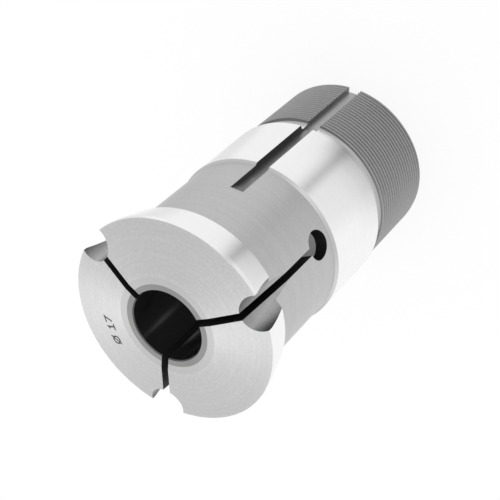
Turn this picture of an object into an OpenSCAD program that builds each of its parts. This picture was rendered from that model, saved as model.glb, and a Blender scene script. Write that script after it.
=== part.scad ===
// Split guide bush: a hardened spring body with three jaws, and a hard lining brazed into them.
// The bush stands on its threaded end. The axis is Z, the face that meets the work is on top,
// and the key slot runs along +X.

/* [Bore and lining] */
// Diameter of the bore that guides the bar
bore_d = 17; // [12:0.5:19]
// Wall of the hard lining
lining_wall = 1.6; // [1:0.1:2]
// Length of the hard lining, from the front
lining_length = 18; // [12:0.5:22]
// Gap filled by the braze between lining and jaws
braze_gap = 0.05; // [0.02:0.01:0.1]
// Chamfer at both ends of the lining's bore
lining_chamfer = 0.25; // [0.1:0.05:0.4]
// Width of the shoulder that the lining seats on
shoulder_w = 0.9; // [0.5:0.1:1.2]
// Depth of the shoulder before the bore opens out
shoulder_depth = 0.8; // [0.5:0.1:2]

/* [Head] */
// Diameter of the rim
head_d = 49; // [46:0.5:54]
// Length of the head behind the rim's front edge
head_length = 8.6; // [6:0.1:12]
// Length of the cylindrical land at the rim
land_length = 1.3; // [0.5:0.1:2]
// Angle of the closing cone, from the axis
cone_angle = 15; // [12:0.5:16]
// Length of the undercut between cone and body
undercut_length = 1; // [0.6:0.1:1.5]
// How far the flat ring stands in front of the rim
face_rise = 2.05; // [1:0.05:3]
// Width of the flat ring around the lining
face_ring_w = 1.6; // [1:0.1:2.5]

/* [Body] */
// Diameter of the spring part of the body
body_d = 41.6; // [40:0.1:42]
// Length of the spring part, from the head to the ground band
body_length = 25.75; // [20:0.25:34]
// Diameter of the bore behind the lining
inner_d = 35.6; // [33:0.1:36]
// Angle of the cone that opens that bore out, from the axis
inner_cone_angle = 45; // [40:1:60]

/* [Ground band] */
// Diameter of the ground band
band_d = 42.8; // [42.2:0.1:44]
// Length of the ground band, with its front chamfer
band_length = 20.8; // [15:0.1:30]
// Front chamfer of the ground band
band_chamfer = 0.6; // [0.3:0.1:0.6]

/* [Thread and its run-out groove] */
// Outer diameter of the fine thread
thread_d = 41.6; // [41:0.1:42]
// Length of the thread, from the rear end
thread_length = 21.2; // [15:0.1:30]
// Chamfers at the rear end
end_chamfer = 0.35; // [0.2:0.05:0.6]
// Diameter at the bottom of the groove between thread and ground band
groove_d = 39.8; // [39.4:0.1:40.6]
// Length of the groove, from the thread to the ground band
groove_length = 4; // [3.5:0.1:5]
// Angle of the groove's flank at the thread, from the axis
groove_flank_angle = 45; // [45:5:60]
// Angle of the groove's wall at the ground band, from the axis
groove_wall_angle = 60; // [50:5:75]
// Radius between that wall and the groove's bottom
groove_fillet = 0.8; // [0.4:0.1:1]

/* [Slits and flutes] */
// Number of jaws
jaws = 3; // [2:1:4]
// Width of the slits
slit_w = 1.7; // [1:0.1:2.5]
// Diameter of the relief hole at the end of each slit
relief_d = 6.8; // [4:0.2:8]
// Distance of the relief holes ahead of the ground band
relief_setback = 4.85; // [4.5:0.05:7]
// Radius of the flute across each slit in the head
flute_r = 4.1; // [3:0.1:5]
// Depth of the flutes below the body at the rim
flute_depth = 1.55; // [1:0.05:2]
// Distance behind the rim where a flute runs out
flute_run = 16.5; // [12:0.5:20]

/* [Key slot] */
// Width of the key slot
key_w = 3.2; // [2:0.1:5]
// Depth of the key slot below the body
key_depth = 1.6; // [1:0.05:1.8]
// Length of the key slot ahead of the ground band
key_lead = 10.85; // [9:0.25:13]
// Diameter of the disc cutter that ends the slot
key_cutter_d = 40; // [20:1:60]

/* [Hidden] */
// Overlap of cutting shapes past the surfaces that they cut
over = 1;
// Steps of the groove's fillet
fillet_steps = 3;
$fn = 128;

bore_r = bore_d / 2;
lining_r = bore_r + lining_wall;
seat_r = lining_r + braze_gap;
head_r = head_d / 2;
body_r = body_d / 2;
band_r = band_d / 2;
thread_r = thread_d / 2;
groove_r = groove_d / 2;
inner_r = inner_d / 2;
shoulder_r = seat_r - shoulder_w;
face_ring_r = seat_r + face_ring_w;
cone_small_r = head_r - (head_length - land_length) * tan(cone_angle);

// Stations along the axis, from the rear end up to the face
thread_z = thread_length;
groove_z = thread_z + (thread_r - groove_r) / tan(groove_flank_angle);
band_z = thread_z + groove_length;
groove_wall_z = band_z - (band_r - groove_r) / tan(groove_wall_angle);
body_z = band_z + band_length;
cone_z = body_z + body_length;
rim_z = cone_z + head_length;
face_z = rim_z + face_rise;
lining_z = face_z - lining_length;
inner_cone_z = lining_z - shoulder_depth;
inner_z = inner_cone_z - (inner_r - shoulder_r) / tan(inner_cone_angle);

relief_z = body_z + relief_setback;
flute_tilt = atan(flute_depth / flute_run);
key_floor_r = body_r - key_depth;
jaw_step = 360 / jaws;
// The first slit is half a jaw away from the key slot
slit_angles = [for (i = [0 : jaws - 1]) (i + 0.5) * jaw_step];

// Half section of the body, outside from the rear end up, then down the bore
module body_section() {
    // The groove's fillet turns from the bottom into the wall
    fillet_z = groove_wall_z - groove_fillet * tan(groove_wall_angle / 2);
    fillet = [for (i = [0 : fillet_steps])
        let (a = i * groove_wall_angle / fillet_steps)
        [groove_r + groove_fillet * (1 - cos(a)), fillet_z + groove_fillet * sin(a)]
    ];
    polygon(concat([
        [inner_r + end_chamfer, 0],
        [thread_r - end_chamfer, 0],
        [thread_r, end_chamfer],
        [thread_r, thread_z],
        [groove_r, groove_z],
    ], fillet, [
        [band_r, band_z],
        [band_r, body_z - band_chamfer],
        [body_r, body_z],
        [body_r, cone_z - undercut_length],
        [cone_small_r, cone_z],
        [head_r, rim_z - land_length],
        [head_r, rim_z],
        [face_ring_r, face_z],
        [seat_r, face_z],
        [seat_r, lining_z - braze_gap],
        [shoulder_r, lining_z - braze_gap],
        [shoulder_r, inner_cone_z],
        [inner_r, inner_z],
        [inner_r, end_chamfer],
    ]));
}

// Half section of the lining
module lining_section() {
    polygon([
        [bore_r + lining_chamfer, lining_z],
        [lining_r, lining_z],
        [lining_r, face_z],
        [bore_r + lining_chamfer, face_z],
        [bore_r, face_z - lining_chamfer],
        [bore_r, lining_z + lining_chamfer],
    ]);
}

// Saw cut from the axis outward, from the relief hole to the face
module slit(angle) {
    rotate([0, 0, angle])
        translate([0, -slit_w / 2, relief_z])
            cube([head_r + over, slit_w, face_z - relief_z + over]);
}

// Hole through one wall that ends a slit
module relief_hole(angle) {
    rotate([0, 0, angle])
        translate([0, 0, relief_z])
            rotate([0, 90, 0])
                cylinder(h = band_r + over, d = relief_d);
}

// Round groove across a slit, deepest at the rim and running out on the body
module flute(angle) {
    rotate([0, 0, angle])
        translate([body_r - flute_depth + flute_r, 0, rim_z])
            rotate([0, -flute_tilt, 0])
                translate([0, 0, -2 * flute_run])
                    cylinder(h = 2 * flute_run + face_rise + 2 * over, r = flute_r);
}

// Keyway from the rear end, ended by the round of its disc cutter
module key_slot() {
    cutter_r = key_cutter_d / 2;
    // The cutter stands where its edge leaves the body's surface at the slot's front end
    run_out = sqrt(pow(cutter_r, 2) - pow(cutter_r - key_depth, 2));
    cutter_z = body_z + key_lead - run_out;
    translate([key_floor_r, -key_w / 2, -over])
        cube([cutter_r, key_w, cutter_z + over]);
    translate([key_floor_r + cutter_r, key_w / 2, cutter_z])
        rotate([90, 0, 0])
            cylinder(h = key_w, r = cutter_r);
}

// Third of a turn between two slits
module jaw_sector(i) {
    from = slit_angles[i];
    reach = 2 * head_r;
    half = jaw_step / 2;
    translate([0, 0, lining_z - over])
        linear_extrude(height = lining_length + 2 * over)
            polygon([
                [0, 0],
                reach * [cos(from), sin(from)],
                reach * [cos(from + half), sin(from + half)],
                reach * [cos(from + jaw_step), sin(from + jaw_step)],
            ]);
}

module bush_body() {
    color([0.72, 0.72, 0.72])
        difference() {
            rotate_extrude() body_section();
            for (angle = slit_angles) {
                slit(angle);
                relief_hole(angle);
                flute(angle);
            }
            key_slot();
        }
}

module lining_segment(i) {
    color([0.55, 0.55, 0.56])
        intersection() {
            difference() {
                rotate_extrude() lining_section();
                for (angle = slit_angles)
                    slit(angle);
            }
            jaw_sector(i);
        }
}

bush_body();
lining_segment(0);  // lining_segment_1
lining_segment(1);  // lining_segment_2
lining_segment(2);  // lining_segment_3
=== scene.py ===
# %% [markdown]
# A split guide bush, dressed from its frame.
# On a sliding-head lathe a bush like this steadies the bar close to the tool. It is one turned,
# ground and slit piece of spring steel, with hard metal brazed into its head. The imported solids
# have every main form and could be painted as they are, but they lack the real thread, the broken
# edges and the marks of each tool. So this lesson makes the bush as a workshop does: it turns a
# blank, threads it, cuts it, lines it and marks it.

# %% Load the frame
import math

import bmesh
import bpy
from mathutils import Matrix, Quaternion, Vector


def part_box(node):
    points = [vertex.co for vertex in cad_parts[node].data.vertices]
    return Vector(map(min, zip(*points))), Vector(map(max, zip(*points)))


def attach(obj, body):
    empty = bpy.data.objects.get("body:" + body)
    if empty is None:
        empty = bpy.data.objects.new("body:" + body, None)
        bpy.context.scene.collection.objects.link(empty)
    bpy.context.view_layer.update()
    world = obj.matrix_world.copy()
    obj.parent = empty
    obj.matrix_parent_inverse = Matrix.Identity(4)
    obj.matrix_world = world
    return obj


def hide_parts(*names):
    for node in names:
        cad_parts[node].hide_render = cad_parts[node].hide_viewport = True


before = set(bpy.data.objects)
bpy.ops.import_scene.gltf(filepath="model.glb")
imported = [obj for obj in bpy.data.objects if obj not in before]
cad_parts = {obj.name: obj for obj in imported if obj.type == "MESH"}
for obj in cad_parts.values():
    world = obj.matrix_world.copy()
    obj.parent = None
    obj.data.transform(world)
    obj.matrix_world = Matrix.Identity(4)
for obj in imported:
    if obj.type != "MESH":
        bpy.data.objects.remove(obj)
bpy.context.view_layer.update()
print("nodes:", sorted(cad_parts))

# %% [markdown]
# Sizes are written in millimetres, as on a workshop drawing, and MM turns them into metres.
# Blender keeps data, such as a mesh, a lens or a lamp, apart from the object that puts it in the
# scene, and a mesh in work, a bmesh, apart from a finished one. Both steps come up all the time,
# so each gets a helper.

# %% Objects and meshes
MM = 0.001


def add_object(name, data):
    """A new object in the scene."""
    made = bpy.data.objects.new(name, data)
    bpy.context.collection.objects.link(made)
    return made


def as_mesh(shape, name):
    """A finished mesh from a shape in work, which is then let go."""
    mesh = bpy.data.meshes.new(name)
    shape.to_mesh(mesh)
    shape.free()
    return mesh


# %% [markdown]
# The camera stands where the photograph was taken from. It could be moved by eye until the
# picture fits, but a circle seen at a slant tells more, and the bush is full of circles: the
# camera's place, aim and roll were worked out from the bore, the rim and the ground band. The
# roll is large because the photograph shows the bush lying over. Here it stands on its thread.

# %% Camera
camera_spot = Vector((168.79, -109.04, 255.65)) * MM
camera_aim = Vector((-0.12, -0.19, 48.40)) * MM
camera_roll = math.radians(-132.94)

camera_data = bpy.data.cameras.new("camera")
camera_data.lens = 90.876
camera_data.sensor_width = 36
camera_data.clip_start = 0.01
camera = add_object("camera", camera_data)
camera.location = camera_spot
camera.rotation_mode = "QUATERNION"
level = (camera_aim - camera_spot).to_track_quat("-Z", "Y")
camera.rotation_quaternion = level @ Quaternion((0, 0, 1), camera_roll)
bpy.context.scene.camera = camera
print("camera at", [round(v, 4) for v in camera.location])

# %% [markdown]
# Materials, and the rules that make a thread or a ring of holes, are trees of nodes. A tree can
# be drawn by hand in Blender's editor. It is written here instead, because a written one can be
# read, changed and made again. One helper adds a node with its settings and inputs, and two do a
# step of arithmetic, on numbers and on vectors.

# %% Node helpers
def feed(node_socket, value):
    """Link a socket to an input, or write a plain value on it."""
    if isinstance(value, bpy.types.NodeSocket):
        node_socket.id_data.links.new(value, node_socket)
    else:
        node_socket.default_value = value


def add_node(tree, kind, settings=None, **inputs):
    """A new node with its settings, and its inputs named with _ for a space."""
    node = tree.nodes.new(kind)
    for name, value in (settings or {}).items():
        setattr(node, name, value)
    for name, value in inputs.items():
        feed(node.inputs[name.replace("_", " ")], value)
    return node


def calc(tree, operation, *values, clamp=False):
    """One step of arithmetic."""
    node = add_node(tree, "ShaderNodeMath", {"operation": operation, "use_clamp": clamp})
    for socket, value in zip(node.inputs, values):
        feed(socket, value)
    return node.outputs[0]


def scaled(tree, vector, factors):
    """A vector or a colour, each part of it times its own factor."""
    node = add_node(tree, "ShaderNodeVectorMath", {"operation": "MULTIPLY"})
    feed(node.inputs[0], vector)
    feed(node.inputs[1], factors)
    return node.outputs[0]


# %% [markdown]
# Finishes come before shapes, because every cut hands its own finish to the surface it leaves.
# All of them are one steel with another tool's marks on it. Turning, grinding and boring leave
# fine lines that run with the cut, and milling and sawing leave an even grain. An image could
# show them, but it would stretch on the cones. Noise along one measure fits every form: along
# the radius on a turned face, and along the height on a cylinder.

# %% Place on the bush
def place(tree):
    """Object coordinates in millimetres, the height, and the radius from the axis."""
    coordinates = tree.nodes.new("ShaderNodeTexCoord").outputs["Object"]
    in_mm = scaled(tree, coordinates, (1 / MM, 1 / MM, 1 / MM))
    split = add_node(tree, "ShaderNodeSeparateXYZ", Vector=in_mm)
    squares = [calc(tree, "POWER", split.outputs[axis], 2) for axis in "XY"]
    radius = calc(tree, "SQRT", calc(tree, "ADD", *squares))
    return in_mm, split.outputs["Z"], radius


# %% Tool marks
# A mark on a cylinder is fifty times as long, round the axis, as it is high
HOOPS = (0.02, 0.02, 1.0)
# Bumps per mm, detail and roughness of the fine noise, then of the broad noise. Where no line
# runs, the first number is multiplied by the grains per mm
MARKS = {
    "radius": ((7.0, 3, 0.7), (1.1, 2, 0.5)),
    "height": ((9.0, 3, 0.7), (1.3, 2, 0.5)),
    None: ((2.3, 2, 0.6), (0.15, 2, 0.5)),
}
FINE_SHARE = 0.55


def noise(tree, vector, scale, detail, rough):
    """Soft noise in three directions, 0 to 1, at a scale in bumps per millimetre."""
    node = add_node(
        tree, "ShaderNodeTexNoise", Vector=vector, Scale=scale, Detail=detail, Roughness=rough
    )
    return node.outputs["Fac"]


def weighed(tree, first, share, second):
    """A share of one value, and the rest of it from another."""
    kept = calc(tree, "MULTIPLY", first, share)
    return calc(tree, "ADD", kept, calc(tree, "MULTIPLY", second, 1 - share))


def tool_marks(tree, run, vector, radius, grain_scale):
    """Fine and broad marks, 0 to 1, that follow the tool."""
    times = 1.0
    if run == "radius":
        vector = add_node(tree, "ShaderNodeCombineXYZ", X=radius).outputs[0]
    elif run == "height":
        vector = scaled(tree, vector, HOOPS)
    else:
        times = grain_scale
    fine, broad = [
        noise(tree, vector, scale * times, detail, rough) for scale, detail, rough in MARKS[run]
    ]
    return weighed(tree, fine, FINE_SHARE, broad)


# %% [markdown]
# The thread at its roots, the flank towards the thread, a flute at its bottom and towards the rim
# and the key slot ahead of the thread are given painted shade: the darkening of hollows that
# shadows alone don't show in a white studio, where light comes from all sides. So the grey of such
# a finish is multiplied by shares, at stations along its radius or its height. The painted shade
# belongs to the surface, and holds from every side.

# %% Painted shade along a measure
def grey_ramp(tree, factor, stops):
    """Greys at places from 0 to 1 along a factor, joined by straight lines."""
    node = add_node(tree, "ShaderNodeValToRGB", Fac=factor)
    elements = node.color_ramp.elements
    while len(elements) < len(stops):
        elements.new(0.5)
    for element, (at, grey) in zip(elements, stops):
        element.position = at
        element.color = (grey, grey, grey, 1)
    return node.outputs["Color"]


def with_painted_shade(tree, colour, measure, stops):
    """A colour times the shares of painted shade that lie at stations along a measure in millimetres.
    """
    first, last = stops[0][0], stops[-1][0]
    station = add_node(tree, "ShaderNodeMapRange", Value=measure, From_Min=first, From_Max=last)
    spots = [((at - first) / (last - first), share) for at, share in stops]
    return scaled(tree, colour, grey_ramp(tree, station.outputs[0], spots))


# %% [markdown]
# A finish is then a metal with a base grey and a roughness. One even grey would look like plastic,
# so both move a little with the marks. Anisotropy spreads the gloss across the lines, which gives
# a turned face its bow tie of light. A few thousandths of a millimetre of bump are enough for the
# lines to break the gloss.

# %% Steel finish
MARK_SHARE = 0.6
ROUGH_SWING = 0.15


def mixed_colour(tree, factor, first, second):
    """One colour where the factor is 0, and another where it is 1."""
    return add_node(
        tree, "ShaderNodeMix", {"data_type": "RGBA"}, Factor=factor, A=first, B=second
    ).outputs["Result"]


def steel(
    name, grey, rough, run, grain, scale, bump, spread=0.0, shade=None, tint=(1, 1, 1), metal=1.0
):
    """A metal whose lines run along "radius" or "height", or which has an even grain."""
    material = bpy.data.materials.new(name)
    material.use_nodes = True
    tree = material.node_tree
    shader = tree.nodes["Principled BSDF"]
    vector, height, radius = place(tree)
    speckle = noise(tree, vector, scale, 3, 0.6)
    marks = weighed(tree, tool_marks(tree, run, vector, radius, scale), MARK_SHARE, speckle)
    dark = [grey * (1 - grain) * channel for channel in tint]
    light = [min(1.0, grey * (1 + grain)) * channel for channel in tint]
    colour = mixed_colour(tree, marks, (*dark, 1), (*light, 1))
    # Painted shade: the grey darkens at stations along the radius or the height
    if shade:
        along, stops = shade
        colour = with_painted_shade(tree, colour, {"radius": radius, "height": height}[along], stops)
    smoothest, roughest = rough * (1 - ROUGH_SWING), rough * (1 + ROUGH_SWING)
    roughness = add_node(
        tree, "ShaderNodeMapRange", Value=marks, To_Min=smoothest, To_Max=roughest
    )
    bumps = add_node(tree, "ShaderNodeBump", Strength=0.6, Distance=bump * MM, Height=marks)
    feed(shader.inputs["Base Color"], colour)
    feed(shader.inputs["Roughness"], roughness.outputs[0])
    feed(shader.inputs["Normal"], bumps.outputs[0])
    shader.inputs["Metallic"].default_value = metal
    if spread:
        shader.inputs["Anisotropic"].default_value = spread
        shader.inputs["Anisotropic Rotation"].default_value = 0.25
        around = add_node(tree, "ShaderNodeTangent", {"direction_type": "RADIAL", "axis": "Z"})
        feed(shader.inputs["Tangent"], around.outputs[0])
    print(f"finish {name}: grey {grey}, roughness {rough}")
    return material


# %% Finishes of the body
# Grey, roughness, run of the lines, how far they move the grey, grains per mm, bump in mm
STEELS = {
    "faced": (0.46, 0.36, "radius", 0.36, 1.6, 0.006),
    "ring": (0.33, 0.34, "radius", 0.15, 1.6, 0.004),
    "ground": (0.93, 0.2, "height", 0.08, 1.2, 0.002),
    "broken_edge": (0.7, 0.4, "height", 0.1, 1.2, 0.002),
    "matt": (0.57, 0.48, "height", 0.27, 2.0, 0.01),
    "neck": (0.93, 0.28, "height", 0.08, 2.0, 0.004),
    "chamfer": (0.5, 0.35, "height", 0.1, 2.0, 0.003),
    "flank": (0.46, 0.36, "height", 0.08, 2.0, 0.004),
    "thread": (0.39, 0.6, "height", 0.15, 2.0, 0.004),
    "milled": (0.56, 0.45, None, 0.5, 1.8, 0.012),
    "key_floor": (0.47, 0.4, None, 0.25, 1.8, 0.008),
    # The key slot's walls are milled like its floor; their darker grey is painted shade
    "key_wall": (0.25, 0.45, None, 0.25, 1.8, 0.008),
    "sawn": (0.05, 0.6, None, 0.3, 3.0, 0.008),
    "bored": (0.4, 0.45, "height", 0.2, 1.5, 0.006),
}
# How far the gloss spreads across the lines
SPREADS = {"faced": 0.6, "ring": 0.5, "ground": 0.5, "matt": 0.3}
# Shares of the grey for painted shade, at stations in mm along a measure
PAINTED_SHADES = {
    "flank": ("radius", ((20.15, 1.0), (20.33, 0.3))),
    "thread": ("radius", ((20.1, 0.35), (20.7, 1.0))),
    "milled": ("radius", ((19.2, 0.52), (20.5, 0.84), (21.2, 0.77), (22.5, 0.55), (24.2, 0.3))),
    "key_floor": ("height", ((20.5, 1.0), (25.5, 0.68))),
    "key_wall": ("height", ((22.5, 1.0), (25.2, 0.55))),
}
FINISH = {
    key: steel(f"{key}_steel", *look, spread=SPREADS.get(key, 0.0), shade=PAINTED_SHADES.get(key))
    for key, look in STEELS.items()
}

# %% [markdown]
# The blank is turned first. A lathe carries one half section all the way round, and so does this
# step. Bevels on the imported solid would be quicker, but a section written out lets each surface
# name its own finish and each corner its own broken edge, the small flat that a file or a stone
# leaves to catch the light. Sizes that the frame can tell are read from its boxes.

# %% Sizes of the turned body
body_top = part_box("bush_body")[1] / MM
head_r = body_top.y
face_z = body_top.z
lining_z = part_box("lining_segment_1")[0].z / MM
bore_r = 8.5
lining_wall = 1.6
braze_gap = 0.05
face_ring_w = 1.6
face_rise = 2.05
head_length = 8.6
# The land at the rim is shorter than the solids' land, but the closing cone starts where theirs does
land_length = 1.0
solid_land_length = 1.3
closing_angle = math.radians(15)
undercut_length = 1.0
body_r = 20.8
body_z = 46.0
band_r = 21.4
band_z = 25.2
band_chamfer = 0.6
thread_r = 20.8
thread_z = 21.2
groove_r = 19.9
groove_wall = math.radians(60)
groove_fillet = 0.8
inner_r = 17.8
shoulder_w = 0.9
shoulder_depth = 0.8
end_chamfer = 0.35
print(f"rim radius {head_r:.2f} mm, face {face_z:.2f} mm above the rear end")

# %% Stations and radii that follow
lining_r = bore_r + lining_wall
seat_r = lining_r + braze_gap
ring_r = seat_r + face_ring_w
shoulder_r = seat_r - shoulder_w
rim_z = face_z - face_rise
land_z = rim_z - land_length
cone_z = rim_z - head_length
cone_small_r = head_r - (head_length - solid_land_length) * math.tan(closing_angle)
groove_z = thread_z + (thread_r - groove_r)
seat_z = lining_z - braze_gap
inner_cone_z = lining_z - shoulder_depth
inner_z = inner_cone_z - (inner_r - shoulder_r)
print(f"closing cone from {cone_z:.2f} to {land_z:.2f} mm, groove from {groove_z:.2f} mm")

# %% Section of the blank
EDGE = 0.08
FINE_EDGE = 0.05
FILLET_STEPS = 6
wall_foot_z = band_z - (band_r - groove_r) / math.tan(groove_wall)
fillet_z = wall_foot_z - groove_fillet * math.tan(groove_wall / 2)
fillet = []
for step in range(FILLET_STEPS + 1):
    sweep = groove_wall * step / FILLET_STEPS
    fillet_r = groove_r + groove_fillet * (1 - math.cos(sweep))
    fillet.append((fillet_r, fillet_z + groove_fillet * math.sin(sweep), "neck", 0))

# Radius, height, finish of the surface that follows, and the flat on the corner
section = [
    (groove_r, groove_z, "neck", 0),
    *fillet,
    (band_r, band_z, "ground", EDGE),
    (band_r, body_z - band_chamfer, "chamfer", EDGE),
    (body_r, body_z, "matt", 0),
    (body_r, cone_z - undercut_length, "matt", 0),
    (cone_small_r, cone_z, "ground", EDGE),
    (head_r, land_z, "ground", 0),
    (head_r, rim_z, "faced", FINE_EDGE),
    (ring_r, face_z, "ring", 0),
    (seat_r, face_z, "bored", 0),
    (seat_r, seat_z, "bored", 0),
    (shoulder_r, seat_z, "bored", 0),
    (shoulder_r, inner_cone_z, "bored", 0),
    (inner_r, inner_z, "bored", 0),
    (inner_r, end_chamfer, "bored", 0),
    (inner_r + end_chamfer, 0, "bored", 0),
]


def break_corners(points):
    """The same section with a small flat at each corner that asks for one."""
    out = []
    for i, (r, z, finish, flat) in enumerate(points):
        if flat == 0:
            out.append((r, z, finish))
            continue
        here = Vector((r, z))
        before = (Vector(points[i - 1][:2]) - here).normalized() * flat
        after = (Vector(points[i + 1][:2]) - here).normalized() * flat
        out.append((*(here + before), "broken_edge"))
        out.append((*(here + after), finish))
    return out


blank_section = break_corners(section)
print(f"section of {len(blank_section)} corners, {len(blank_section) - len(section)} of them broken")

# %% Turn a section
STEPS = 288


def turn(points, name, finishes, closed=False):
    """A section of (radius, height, finish) carried round the axis."""
    names = sorted(finishes)
    shape = bmesh.new()
    rings = []
    for r, z, _ in points:
        ring = []
        for step in range(STEPS):
            angle = 2 * math.pi * step / STEPS
            ring.append(shape.verts.new((r * math.cos(angle) * MM, r * math.sin(angle) * MM, z * MM)))
        rings.append(ring)
    bands = list(zip(rings, rings[1:], points))
    if closed:
        bands.append((rings[-1], rings[0], points[-1]))
    for near, far, (_, _, finish) in bands:
        for step in range(STEPS):
            after = (step + 1) % STEPS
            face = shape.faces.new((near[step], near[after], far[after], far[step]))
            face.material_index = names.index(finish)
    if closed:
        bmesh.ops.recalc_face_normals(shape, faces=shape.faces)
    piece = add_object(name, as_mesh(shape, name))
    for finish in names:
        piece.data.materials.append(finishes[finish])
    print(f"{name}: {len(piece.data.polygons)} faces")
    return piece


blank = turn(blank_section, "steel_body", FINISH)

# %% [markdown]
# The rear of the bush has a fine right-hand thread for the nut that draws it into its sleeve. A
# bump in the material would look flat at the outline, and a swept cutter taken away by a Boolean
# leaves slivers in every turn. But the thread follows a rule, a V groove that climbs one pitch
# for each turn, so Geometry Nodes can make its surface at once: a sheet whose rows climb with the
# groove, four rows to a turn for its two lips and the two edges of its root. The sheet is held
# between the rear end and the neck, the groove runs out over its last third of a turn, and the
# rear chamfer trims the crests. The flank between thread and neck has a finish of its own.

# %% Thread sizes
thread = {
    "Pitch": 1.143,
    "Depth": 0.7,
    "Root width": 0.12,
    "Flank width": 0.4,
    "Crest radius": thread_r,
    "First groove": -1.26,
    "Turns": 20.92,
    "Run out": 0.33,
    "Length": thread_z,
    "Front radius": groove_r,
    "Front height": groove_z,
    "End chamfer": end_chamfer,
    "Inner radius": inner_r + end_chamfer,
}
ROWS_PER_GROOVE = 4
groove_count = math.ceil(thread["Turns"]) + 2
rows = ROWS_PER_GROOVE * groove_count + 1
print(f"{groove_count} grooves in {rows} rows")

# %% Inputs of the thread's tree
thread_tree = bpy.data.node_groups.new("thread_sheet", "GeometryNodeTree")
for name, value in thread.items():
    socket = thread_tree.interface.new_socket(name, in_out="INPUT", socket_type="NodeSocketFloat")
    socket.default_value = value
for name in ("Finish", "Flank finish"):
    thread_tree.interface.new_socket(name, in_out="INPUT", socket_type="NodeSocketMaterial")
thread_tree.interface.new_socket("Geometry", in_out="OUTPUT", socket_type="NodeSocketGeometry")
given = thread_tree.nodes.new("NodeGroupInput").outputs
print("thread inputs:", [item.name for item in thread_tree.interface.items_tree])


def do(operation, *values, clamp=False):
    """One step of arithmetic in the thread's tree."""
    return calc(thread_tree, operation, *values, clamp=clamp)


# %% Column, row and corner of each point
# The grid numbers its points column by column. A column stands at one bearing. Its rows are the
# rear ring, four corners for each groove and the front ring, and corners 0 and 3 are the lips.
sheet = add_node(
    thread_tree, "GeometryNodeMeshGrid", Vertices_X=STEPS + 1, Vertices_Y=rows
).outputs["Mesh"]
index = thread_tree.nodes.new("GeometryNodeInputIndex").outputs[0]
column = do("FLOOR", do("DIVIDE", do("ADD", index, 0.5), rows))
row = do("SUBTRACT", index, do("MULTIPLY", column, rows))
turned = do("DIVIDE", column, STEPS)
rear_ring = do("LESS_THAN", row, 0.5)
front_ring = do("GREATER_THAN", row, rows - 1.5)
count = do("SUBTRACT", row, 1.0)
groove = do("FLOOR", do("DIVIDE", do("ADD", count, 0.5), ROWS_PER_GROOVE))
corner = do("SUBTRACT", count, do("MULTIPLY", groove, ROWS_PER_GROOVE))
side = do("SUBTRACT", do("MULTIPLY", do("GREATER_THAN", corner, 1.5), 2.0), 1.0)
lip = do("GREATER_THAN", do("ABSOLUTE", do("SUBTRACT", corner, 1.5)), 1.0)
wound = do("ADD", do("SUBTRACT", groove, 1.0), turned)
print(f"sheet of {STEPS + 1} columns and {rows} rows")

# %% Height of each point
def cut_left(windings):
    """1 along the thread, falling to 0 over the run-out."""
    ahead = do("SUBTRACT", given["Turns"], windings)
    return do("DIVIDE", ahead, given["Run out"], clamp=True)


def groove_middle(windings):
    """Height of the groove's middle after so many turns."""
    return do("ADD", given["First groove"], do("MULTIPLY", windings, given["Pitch"]))


half_root = do("MULTIPLY", given["Root width"], 0.5)
half_here = do("ADD", half_root, do("MULTIPLY", lip, given["Flank width"]))
reach = do("MULTIPLY", side, do("MULTIPLY", half_here, cut_left(wound)))
free_height = do("ADD", groove_middle(wound), reach)
height = do("MINIMUM", do("MAXIMUM", free_height, 0.0), given["Length"])
print(f"{len(thread_tree.nodes)} nodes for the heights")

# %% How deep the groove is there
# Where the groove has run out it keeps a hair of width, so that nothing is divided by nought
climb = do("DIVIDE", do("SUBTRACT", height, given["First groove"]), given["Pitch"])
nearest = do("ADD", do("ROUND", do("SUBTRACT", climb, turned)), turned)
off_middle = do("ABSOLUTE", do("SUBTRACT", height, groove_middle(nearest)))
cut_here = do("MAXIMUM", cut_left(nearest), 0.0001)
half_mouth = do("MULTIPLY", do("ADD", half_root, given["Flank width"]), cut_here)
flank = do("MULTIPLY", given["Flank width"], cut_here)
share = do("DIVIDE", do("SUBTRACT", half_mouth, off_middle), flank, clamp=True)
depth = do("MULTIPLY", do("MULTIPLY", given["Depth"], cut_left(nearest)), share)
threaded = do("SUBTRACT", given["Crest radius"], depth)
chamfered = do("ADD", do("SUBTRACT", given["Crest radius"], given["End chamfer"]), height)
outer = do("MINIMUM", threaded, chamfered)
print(f"{len(thread_tree.nodes)} nodes with the groove's depth")

# %% Close both ends of the thread
def pick(switch, value, other):
    """One value where the switch is 1, another where it is 0."""
    return do("MULTIPLY_ADD", switch, do("SUBTRACT", value, other), other)


with_front = pick(front_ring, given["Front radius"], outer)
radius = do("MULTIPLY", pick(rear_ring, given["Inner radius"], with_front), MM)
height_with_front = pick(front_ring, given["Front height"], height)
level_height = do("MULTIPLY", pick(rear_ring, 0.0, height_with_front), MM)
print(f"{len(thread_tree.nodes)} nodes with both ends")

# %% Place the thread's points
SAME_SPOT = 0.001 * MM
bearing = do("MULTIPLY", turned, 2 * math.pi)
spot = add_node(
    thread_tree,
    "ShaderNodeCombineXYZ",
    X=do("MULTIPLY", radius, do("COSINE", bearing)),
    Y=do("MULTIPLY", radius, do("SINE", bearing)),
    Z=level_height,
).outputs[0]
laid = add_node(thread_tree, "GeometryNodeSetPosition", Geometry=sheet, Position=spot)
merged = add_node(
    thread_tree, "GeometryNodeMergeByDistance", Geometry=laid.outputs[0], Distance=SAME_SPOT
)
print(f"{len(thread_tree.nodes)} nodes with the points in place")

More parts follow.
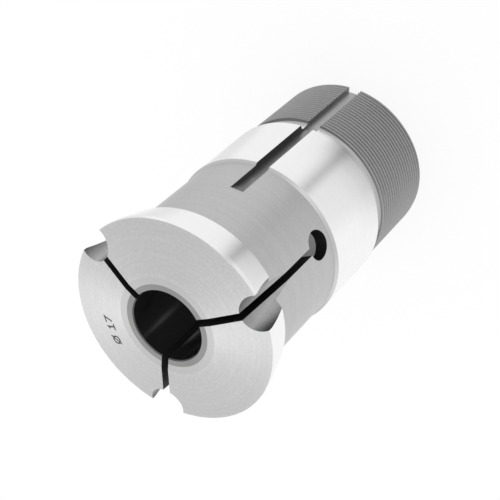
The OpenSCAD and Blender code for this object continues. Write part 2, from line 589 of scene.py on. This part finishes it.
# %% Give the thread its finishes
# Faces whose middle lies a hair past the thread's length are the flank
real = add_node(thread_tree, "GeometryNodeRealizeInstances", Geometry=merged.outputs[0])
finished = add_node(
    thread_tree, "GeometryNodeSetMaterial", Geometry=real.outputs[0], Material=given["Finish"]
)
middle = thread_tree.nodes.new("GeometryNodeInputPosition").outputs[0]
middle_height = add_node(thread_tree, "ShaderNodeSeparateXYZ", Vector=middle).outputs["Z"]
past_thread = do("GREATER_THAN", middle_height, do("MULTIPLY", given["Length"], MM * 1.001))
flanked = add_node(
    thread_tree,
    "GeometryNodeSetMaterial",
    Geometry=finished.outputs[0],
    Selection=past_thread,
    Material=given["Flank finish"],
)
add_node(thread_tree, "NodeGroupOutput", Geometry=flanked.outputs[0])
print(f"thread tree: {len(thread_tree.nodes)} nodes")

# %% [markdown]
# A tree works on an object through a modifier. Its inputs are set by their identifiers, which
# stay the same when a name is changed. The result is kept as a plain mesh and the modifier goes,
# because the bush is finished by cuts that need real faces.

# %% Make a tree's result a plain mesh
def run_tree(tree, name, values, base=None):
    """Run a tree on an object and keep the result as its mesh."""
    carrier = add_object(name, base or bpy.data.meshes.new(name))
    modifier = carrier.modifiers.new(name, "NODES")
    modifier.node_group = tree
    for item in tree.interface.items_tree:
        if item.in_out == "INPUT" and item.name in values:
            modifier[item.identifier] = values[item.name]
    settled = carrier.evaluated_get(bpy.context.evaluated_depsgraph_get())
    plain = bpy.data.meshes.new_from_object(settled)
    carrier.modifiers.remove(modifier)
    carrier.data = plain
    print(f"{name}: {len(plain.polygons)} faces")
    return carrier


thread_finishes = {"Finish": FINISH["thread"], "Flank finish": FINISH["flank"]}
threads = run_tree(thread_tree, "threads", {**thread, **thread_finishes})

# %% [markdown]
# The blank and the thread's sheet are both open where they meet, at the neck and at the rear end,
# and have the same ring of points there. Merging those points closes the body without a seam,
# where a Boolean union would have to guess at two surfaces that only touch.

# %% Join the thread to the blank
def measure(piece):
    """Say whether a piece is closed, and how big it is."""
    shape = bmesh.new()
    shape.from_mesh(piece.data)
    open_edges = sum(1 for edge in shape.edges if len(edge.link_faces) != 2)
    volume = shape.calc_volume(signed=True) / MM**3
    shape.free()
    print(f"{piece.name}: {len(piece.data.polygons)} faces, {volume:.0f} mm3, {open_edges} open edges")


def weld(target, extra):
    """Join one open sheet to another and close the seam between them."""
    names = [material.name for material in target.data.materials]
    shape = bmesh.new()
    shape.from_mesh(target.data)
    start = len(shape.faces)
    shape.from_mesh(extra.data)
    shape.faces.ensure_lookup_table()
    for face in shape.faces[start:]:
        face.material_index = names.index(extra.data.materials[face.material_index].name)
    bmesh.ops.remove_doubles(shape, verts=shape.verts, dist=2 * SAME_SPOT)
    bmesh.ops.recalc_face_normals(shape, faces=shape.faces)
    shape.to_mesh(target.data)
    shape.free()
    bpy.data.objects.remove(extra)


weld(blank, threads)
measure(blank)

# %% [markdown]
# Three saw cuts part the head into jaws, and each ends in a drilled hole so that the steel can
# spring without tearing. A flute crosses each slit, and a key slot runs in from the rear. Every
# cut is made by the solid that its tool sweeps, taken away with an exact Boolean: faces drawn
# by hand would have to meet the thread's hundreds of edges one by one. The jaws are alike, so
# saw blade, drill and flute cutter are each drawn once at +X, and one small tree of Geometry
# Nodes stands a copy at every slit.

# %% Ring of cutters
JAWS = 3
slit_angles = [(i + 0.5) * 360 / JAWS for i in range(JAWS)]
ring_tree = bpy.data.node_groups.new("ring_of_cutters", "GeometryNodeTree")
ring_inputs = {"Geometry": "Geometry", "Count": "Int", "First angle": "Float", "Finish": "Material"}
for name, kind in ring_inputs.items():
    ring_tree.interface.new_socket(name, in_out="INPUT", socket_type=f"NodeSocket{kind}")
ring_tree.interface.new_socket("Geometry", in_out="OUTPUT", socket_type="NodeSocketGeometry")
ring_given = ring_tree.nodes.new("NodeGroupInput").outputs
stands = add_node(ring_tree, "GeometryNodePoints", Count=ring_given["Count"]).outputs[0]
stand_index = ring_tree.nodes.new("GeometryNodeInputIndex").outputs[0]
stand_step = calc(ring_tree, "DIVIDE", 2 * math.pi, ring_given["Count"])
stand_turn = calc(ring_tree, "MULTIPLY_ADD", stand_index, stand_step, ring_given["First angle"])
stand_euler = add_node(ring_tree, "ShaderNodeCombineXYZ", Z=stand_turn).outputs[0]
stand_rotation = add_node(ring_tree, "FunctionNodeEulerToRotation", Euler=stand_euler).outputs[0]
copies = add_node(
    ring_tree,
    "GeometryNodeInstanceOnPoints",
    Points=stands,
    Instance=ring_given["Geometry"],
    Rotation=stand_rotation,
).outputs[0]
solid_copies = add_node(ring_tree, "GeometryNodeRealizeInstances", Geometry=copies).outputs[0]
ring_finished = add_node(
    ring_tree, "GeometryNodeSetMaterial", Geometry=solid_copies, Material=ring_given["Finish"]
).outputs[0]
add_node(ring_tree, "NodeGroupOutput", Geometry=ring_finished)
print(f"ring tree: {len(ring_tree.nodes)} nodes, slits at {slit_angles} degrees from the key slot")


def ring_of(mesh, finish):
    """Copies of a cutter at every slit."""
    values = {"Count": JAWS, "First angle": math.radians(slit_angles[0]), "Finish": finish}
    return run_tree(ring_tree, mesh.name, values, base=mesh)


# %% Solids that sweep a cut
def prism(outline, half_width, name):
    """An outline of (x, z) carried across the y axis."""
    shape = bmesh.new()
    near = [shape.verts.new((x * MM, -half_width * MM, z * MM)) for x, z in outline]
    far = [shape.verts.new((x * MM, half_width * MM, z * MM)) for x, z in outline]
    shape.faces.new(near)
    shape.faces.new(reversed(far))
    for i in range(len(outline)):
        after = (i + 1) % len(outline)
        shape.faces.new((near[i], far[i], far[after], near[after]))
    bmesh.ops.recalc_face_normals(shape, faces=shape.faces)
    return as_mesh(shape, name)


def rod(rod_r, start, end, name, steps):
    """A round bar between two points."""
    length = (end - start).length
    aim = (end - start).to_track_quat("Z", "Y").to_matrix().to_4x4()
    shape = bmesh.new()
    bmesh.ops.create_cone(
        shape,
        cap_ends=True,
        segments=steps,
        radius1=rod_r * MM,
        radius2=rod_r * MM,
        depth=length * MM,
        matrix=Matrix.Translation((start + end) / 2 * MM) @ aim,
    )
    return as_mesh(shape, name)


# %% Saw blade and drill
PAST = 1.0
slit_w = 1.7
slit_start = 5.0
relief_r = 3.4
relief_setback = 4.85
relief_z = body_z + relief_setback
slit_outline = [
    (slit_start, relief_z),
    (head_r + PAST, relief_z),
    (head_r + PAST, face_z + PAST),
    (slit_start, face_z + PAST),
]
relief_start = Vector((slit_start, 0, relief_z))
relief_end = Vector((head_r, 0, relief_z))
relief_rod = rod(relief_r, relief_start, relief_end, "reliefs", 96)
cutters = {
    "slits": ring_of(prism(slit_outline, slit_w / 2, "slits"), FINISH["sawn"]),
    "reliefs": ring_of(relief_rod, FINISH["sawn"]),
}

# %% Flute cutter
# The flutes are deepest at the rim, and lean so that they run out on the body
flute_r = 4.1
flute_depth = 1.55
flute_run = 16.5
flute_ahead = 5
flute_tilt = math.atan(flute_depth / flute_run)
flute_middle = Vector((body_r - flute_depth + flute_r, 0, rim_z))
flute_along = Vector((-math.sin(flute_tilt), 0, math.cos(flute_tilt)))
flute_start = flute_middle - flute_along * 2 * flute_run
flute_end = flute_middle + flute_along * flute_ahead
flute_rod = rod(flute_r, flute_start, flute_end, "flutes", 144)
cutters["flutes"] = ring_of(flute_rod, FINISH["milled"])
print(f"flutes lean by {math.degrees(flute_tilt):.2f} degrees")

# %% Key slot cutter
# The slot ends in the round of its disc cutter, and its floor and walls have their own finishes.
# The walls are the floor's milled steel at a darker grey, which is painted shade.
KEY_STEPS = 24
key_w = 3.2
key_depth = 1.6
key_lead = 10.85
key_cutter_r = 20
key_floor_r = body_r - key_depth
key_run_out = math.sqrt(key_cutter_r**2 - (key_cutter_r - key_depth) ** 2)
key_cutter_z = body_z + key_lead - key_run_out
key_outline = [(key_floor_r, -PAST)]
for step in range(KEY_STEPS + 1):
    sweep = math.pi / 2 * step / KEY_STEPS
    key_r = key_floor_r + key_cutter_r * (1 - math.cos(sweep))
    key_outline.append((key_r, key_cutter_z + key_cutter_r * math.sin(sweep)))
key_outline.append((key_floor_r + key_cutter_r, -PAST))

key_mesh = prism(key_outline, key_w / 2, "key_cutter")
key_mesh.materials.append(FINISH["key_floor"])
key_mesh.materials.append(FINISH["key_wall"])
for face in key_mesh.polygons:
    face.material_index = int(abs(face.normal.y) > 0.5)
cutters["key"] = add_object("key_cutter", key_mesh)
print(f"key slot runs out over the last {key_run_out:.2f} mm")

# %% Cut and check
def cut(piece, cutter):
    """Take a cutter away from a piece, and leave the cutter's finish on the cut."""
    modifier = piece.modifiers.new(cutter.name, "BOOLEAN")
    modifier.operation = "DIFFERENCE"
    modifier.solver = "EXACT"
    modifier.material_mode = "TRANSFER"
    modifier.object = cutter
    settled = piece.evaluated_get(bpy.context.evaluated_depsgraph_get())
    plain = bpy.data.meshes.new_from_object(settled)
    piece.modifiers.remove(modifier)
    piece.data = plain


for cutter in cutters.values():
    cut(blank, cutter)
    measure(blank)

# %% [markdown]
# Turned steel looks round, though its mesh is flat faces, and its corners look sharp. Smooth
# shading does the first and would spoil the second, so every edge is marked sharp where its
# faces turn by more than a few degrees. More faces would do it too, but weigh more.

# %% Soft and sharp edges
SHARP = math.radians(7)


def smooth(piece):
    """Round surfaces shade round, and real edges stay crisp."""
    piece.data.shade_smooth()
    piece.data.set_sharp_from_angle(angle=SHARP)


smooth(blank)
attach(blank, "root")
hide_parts("bush_body")
print(f"{blank.name}: {len(blank.data.materials)} finishes")

# %% [markdown]
# The lining guides the bar, so it is hard metal with a lapped bore. In the workshop one ring is
# brazed in and slit together with the jaws. Three segments could be drawn one by one, but the
# workshop's way gives true gaps with no more work: a ring is turned, cut by the same saw blade
# and parted by jaw. The braze shows as a thin warm line between the ring and the steel.

# %% Lining finishes
FINISH["hard"] = steel("hard_metal", 0.16, 0.3, "radius", 0.05, 3.0, 0.002, spread=0.3)
FINISH["lapped"] = steel(
    "lapped_hard_metal", 0.085, 0.22, "height", 0.06, 1.5, 0.001, spread=0.3, metal=0.85
)
FINISH["braze"] = steel("braze_film", 0.4, 0.45, None, 0.2, 4.0, 0.004, tint=(1, 0.95, 0.84))

# %% Turn and slit the lining
LINING_CHAMFER = 0.25
BRAZE_DEPTH = 0.25
lining_finishes = {name: FINISH[name] for name in ("hard", "lapped", "braze", "sawn")}
lining_section = [
    (bore_r + LINING_CHAMFER, lining_z, "hard"),
    (lining_r, lining_z, "braze"),
    (lining_r, face_z - BRAZE_DEPTH - braze_gap, "braze"),
    (seat_r, face_z - BRAZE_DEPTH, "braze"),
    (seat_r, face_z, "braze"),
    (lining_r, face_z, "hard"),
    (bore_r + LINING_CHAMFER, face_z, "lapped"),
    (bore_r, face_z - LINING_CHAMFER, "lapped"),
    (bore_r, lining_z + LINING_CHAMFER, "lapped"),
]
lining = turn(lining_section, "lining", lining_finishes, closed=True)
cut(lining, cutters["slits"])
measure(lining)

# %% Part the lining
segment_angles = [(angle + 180 / JAWS) % 360 for angle in slit_angles]


def jaw_of(face):
    """The place in the list of the jaw that a face stands at."""
    middle = face.calc_center_median()
    bearing = math.degrees(math.atan2(middle.y, middle.x))
    off = [abs((bearing - angle + 180) % 360 - 180) for angle in segment_angles]
    return off.index(min(off))


for jaw in range(JAWS):
    shape = bmesh.new()
    shape.from_mesh(lining.data)
    others = [face for face in shape.faces if jaw_of(face) != jaw]
    bmesh.ops.delete(shape, geom=others, context="FACES")
    segment = add_object(f"lining_jaw_{jaw + 1}", as_mesh(shape, f"lining_jaw_{jaw + 1}"))
    for material in lining.data.materials:
        segment.data.materials.append(material)
    smooth(segment)
    measure(segment)
    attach(segment, "root")
    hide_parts(f"lining_segment_{jaw + 1}")

# %% Put the tools away
for tool in (lining, *cutters.values()):
    bpy.data.objects.remove(tool)

# %% [markdown]
# A bush is marked with the size of bar that it guides, a diameter sign and a number, etched dark
# into the face by an electric pencil. A font's strokes change in width, where the pencil's don't,
# and a flat text would leave the conical face. So the sign and the figures are plain strokes, and
# each is a plate that stands a hundredth of a millimetre proud and follows the cone.

# %% Strokes of the size mark
# Points in mm on the mark's own line: along the reading direction, then upwards
SIGN_MIDDLE = (-3.88, -0.05)
SIGN_RADII = (0.9, 0.95)
SIGN_STEPS = 48
circle = []
for step in range(SIGN_STEPS + 1):
    sweep = 2 * math.pi * step / SIGN_STEPS
    across = SIGN_MIDDLE[0] + SIGN_RADII[0] * math.cos(sweep)
    circle.append((across, SIGN_MIDDLE[1] + SIGN_RADII[1] * math.sin(sweep)))
strokes = {
    "seven": [(0.6, 0.95), (2.15, 0.95), (0.9, -0.97)],
    "one": [(-1.0, 0.45), (-0.45, 0.95), (-0.5, -1.0)],
    "foot of the one": [(-1.35, -1.0), (0.2, -1.0)],
    "slash of the sign": [(-4.9, -1.2), (-2.8, 1.2)],
    "ring of the sign": circle,
}
print("strokes:", list(strokes))


MITRE_LIMIT = 0.4


def closes(line):
    """Whether a line ends where it starts, to a millionth of a millimetre."""
    return (Vector(line[0]) - Vector(line[-1])).length < 1e-6


def ribbon(line, width):
    """Left and right points along a line, half a width to each side."""
    points = [Vector(point) for point in line]
    if closes(line):
        path = [points[-2], *points, points[1]]
    else:
        path = [points[0] * 2 - points[1], *points, points[-1] * 2 - points[-2]]
    sides = []
    for before, here, after in zip(path, path[1:], path[2:]):
        along_in = (here - before).normalized()
        along_out = (after - here).normalized()
        normal = Vector((-along_in.y - along_out.y, along_in.x + along_out.x)).normalized()
        mitre = 1 / max(MITRE_LIMIT, normal.dot(Vector((-along_in.y, along_in.x))))
        sides.append((here + normal * width / 2 * mitre, here - normal * width / 2 * mitre))
    return sides


# %% Lay the strokes on the face
MARK_BEARING = math.radians(116)
MARK_RADIUS = 16.53
STROKE_W = 0.39
MARK_TOP = 0.012
MARK_FOOT = -0.01
face_slope = face_rise / (head_r - ring_r)
outward = Vector((math.cos(MARK_BEARING), math.sin(MARK_BEARING)))
reading = Vector((math.sin(MARK_BEARING), -math.cos(MARK_BEARING)))


def on_face(flat_point, lift):
    """A point of the mark's plane, laid on the conical face."""
    spot = reading * flat_point.x + outward * (MARK_RADIUS + flat_point.y)
    z = face_z - (spot.length - ring_r) * face_slope + lift
    return Vector((spot.x, spot.y, z)) * MM


shape = bmesh.new()
for line in strokes.values():
    loops = []
    for left, right in ribbon(line, STROKE_W):
        corners = ((left, MARK_TOP), (right, MARK_TOP), (right, MARK_FOOT), (left, MARK_FOOT))
        loops.append([shape.verts.new(on_face(point, lift)) for point, lift in corners])
    for near, far in zip(loops, loops[1:]):
        for k in range(4):
            after = (k + 1) % 4
            shape.faces.new((near[k], near[after], far[after], far[k]))
    if not closes(line):
        shape.faces.new(reversed(loops[0]))
        shape.faces.new(loops[-1])
bmesh.ops.remove_doubles(shape, verts=shape.verts, dist=SAME_SPOT / 10)
bmesh.ops.recalc_face_normals(shape, faces=shape.faces)
size_mark = add_object("size_mark", as_mesh(shape, "size_mark"))
measure(size_mark)

# %% Etched finish
etched = bpy.data.materials.new("etched_mark")
etched.use_nodes = True
etched_tree = etched.node_tree
etched_grain = noise(etched_tree, place(etched_tree)[0], 9.0, 3, 0.6)
etched_shade = mixed_colour(
    etched_tree, etched_grain, (0.012, 0.012, 0.013, 1), (0.06, 0.06, 0.062, 1)
)
etched_shader = etched_tree.nodes["Principled BSDF"]
feed(etched_shader.inputs["Base Color"], etched_shade)
etched_shader.inputs["Roughness"].default_value = 0.6
size_mark.data.materials.append(etched)
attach(size_mark, "root")
print("size mark at", round(math.degrees(MARK_BEARING)), "degrees from the key slot")

# %% [markdown]
# The studio is plain: a white floor, a white room and soft lamps. Polished steel shows what is
# around it, and in a room that is white all over it would have no form. In a real studio a dark
# card stands beside it. Here a card would be in the picture from some sides, so the floor does
# its work: a patch of it is dark where steel mirrors it, and white where the camera sees it. The
# patch lies mostly in front of the bush and stays there, wherever the camera goes.

# %% Dark patch for the gloss
floor_material = bpy.data.materials.new("white_floor")
floor_material.use_nodes = True
floor_tree = floor_material.node_tree
floor_tree.nodes.clear()
floor_place, _, away = place(floor_tree)
floor_split = add_node(floor_tree, "ShaderNodeSeparateXYZ", Vector=floor_place)
floor_bearing = calc(floor_tree, "ARCTAN2", floor_split.outputs["Y"], floor_split.outputs["X"])
floor_turn = calc(floor_tree, "MULTIPLY_ADD", floor_bearing, 1 / (2 * math.pi), 0.5)

# Darkness at bearings in degrees round the bush: close to it, and further out
NEAR_DARK = (
    (-115, 0), (-95, 0.12), (-66, 0.45), (-52, 0.5), (-36, 0.66), (-26, 0.85), (-14, 0.5),
    (-4, 0.15), (12, 0.04), (58, 0.03), (72, 0.2), (90, 0.2), (102, 0),
)
FAR_DARK = (
    (-90, 0), (-68, 0.12), (-36, 0.15), (-26.5, 0.52), (-19, 0.2), (-12, 0.06), (12, 0.03),
    (58, 0.03), (72, 0.18), (90, 0.18), (102, 0),
)
# Distances in mm from the axis: where near turns into far, and where the patch fades out
TURN_OVER = (43.0, 45.5)
FADE_OUT = (110, 180)


def dark_round(bearings):
    """Darkness round the bush, from a list of bearings in degrees."""
    return grey_ramp(floor_tree, floor_turn, [((at + 180) / 360, dark) for at, dark in bearings])


turn_over = add_node(
    floor_tree, "ShaderNodeMapRange", Value=away, From_Min=TURN_OVER[0], From_Max=TURN_OVER[1]
).outputs[0]
fading = add_node(
    floor_tree,
    "ShaderNodeMapRange",
    Value=away,
    From_Min=FADE_OUT[0],
    From_Max=FADE_OUT[1],
    To_Min=1,
    To_Max=0,
).outputs[0]
patch = mixed_colour(floor_tree, turn_over, dark_round(NEAR_DARK), dark_round(FAR_DARK))
patch = calc(floor_tree, "MULTIPLY", patch, fading)
print(f"dark patch from the bush to {FADE_OUT[1]} mm away")

# %% White floor
# The floor glows white for the camera and the gloss. Inside the bush it glows a little less: a
# painted shadow, as a real floor there lies in shade, and the glow left there is painted light that
# the bore mirrors. Besides the glow the floor is plain paint, which lights the bush from below and
# takes its shadow. At three metres from the bush its edge melts into the white room.
INSIDE_LOSS = 0.3
GLOW_SHARE = 0.85
FLOOR_HALF = 3.0
ray = floor_tree.nodes.new("ShaderNodeLightPath").outputs
inside = calc(floor_tree, "LESS_THAN", away, inner_r + end_chamfer)
uncovered = calc(floor_tree, "MULTIPLY_ADD", inside, -INSIDE_LOSS, 1.0)
dark = calc(floor_tree, "MULTIPLY", patch, ray["Is Glossy Ray"])
lit = calc(floor_tree, "MULTIPLY", uncovered, calc(floor_tree, "SUBTRACT", 1.0, dark))
glow = add_node(floor_tree, "ShaderNodeEmission", Strength=lit)
paint = add_node(floor_tree, "ShaderNodeBsdfDiffuse", Color=(0.92, 0.92, 0.92, 1))
shown = calc(floor_tree, "MAXIMUM", ray["Is Camera Ray"], ray["Is Glossy Ray"])
shown = calc(floor_tree, "MAXIMUM", shown, ray["Is Transmission Ray"])
blend = floor_tree.nodes.new("ShaderNodeMixShader")
feed(blend.inputs[0], calc(floor_tree, "MULTIPLY", shown, GLOW_SHARE))
feed(blend.inputs[1], paint.outputs[0])
feed(blend.inputs[2], glow.outputs[0])
add_node(floor_tree, "ShaderNodeOutputMaterial", Surface=blend.outputs[0])

shape = bmesh.new()
bmesh.ops.create_grid(shape, x_segments=1, y_segments=1, size=FLOOR_HALF)
floor = add_object("floor", as_mesh(shape, "floor"))
floor.data.materials.append(floor_material)
print(f"floor {2 * FLOOR_HALF:.0f} m wide")

# %% White room
room = bpy.data.worlds.new("white_room")
bpy.context.scene.world = room
room.use_nodes = True
background = room.node_tree.nodes["Background"]
background.inputs["Color"].default_value = (1, 1, 1, 1)
background.inputs["Strength"].default_value = 1.0
print("room strength", background.inputs["Strength"].default_value)

# %% [markdown]
# Lamps give the steel its bright sides. Small lamps would burn hard spots into it, so these are
# broad boxes of light: a key lamp above and behind the camera, a weaker fill lamp to one side, and
# a long strip that lays one streak of light into the dark bore.

# %% Lamps
# Places and sides are in metres
LAMP_AIM = Vector((0, 0, 0.04))


def soft_lamp(name, spot, long_side, short_side, brightness, along=(0, 0, 1)):
    """A box of soft light that faces the bush, as bright as so many whites."""
    lamp = bpy.data.lights.new(name, "AREA")
    lamp.shape = "RECTANGLE"
    lamp.size = short_side
    lamp.size_y = long_side
    lamp.energy = brightness * math.pi * long_side * short_side
    holder = add_object(name, lamp)
    back = (Vector(spot) - LAMP_AIM).normalized()
    side = Vector(along).cross(back).normalized()
    up = back.cross(side)
    holder.matrix_world = Matrix.Translation(spot) @ Matrix((side, up, back)).transposed().to_4x4()
    print(f"{name}: {lamp.energy:.2f} W")


soft_lamp("key_lamp", (0.45, -0.3, 0.8), long_side=0.6, short_side=0.6, brightness=0.6)
soft_lamp("fill_lamp", (-0.5, -0.5, 0.35), long_side=0.6, short_side=0.6, brightness=0.4)
soft_lamp(
    "strip_lamp",
    (-0.48, 0.28, 0.6),
    long_side=0.7,
    short_side=0.15,
    brightness=1.6,
    along=(0, -0.7, 0.7),
)

# %% [markdown]
# The view shows colours as they are written. Last, the box round the finished bush is set beside
# the box of the solids, because dress may never make a part bigger than its frame.

# %% View
bpy.context.scene.view_settings.view_transform = "Standard"
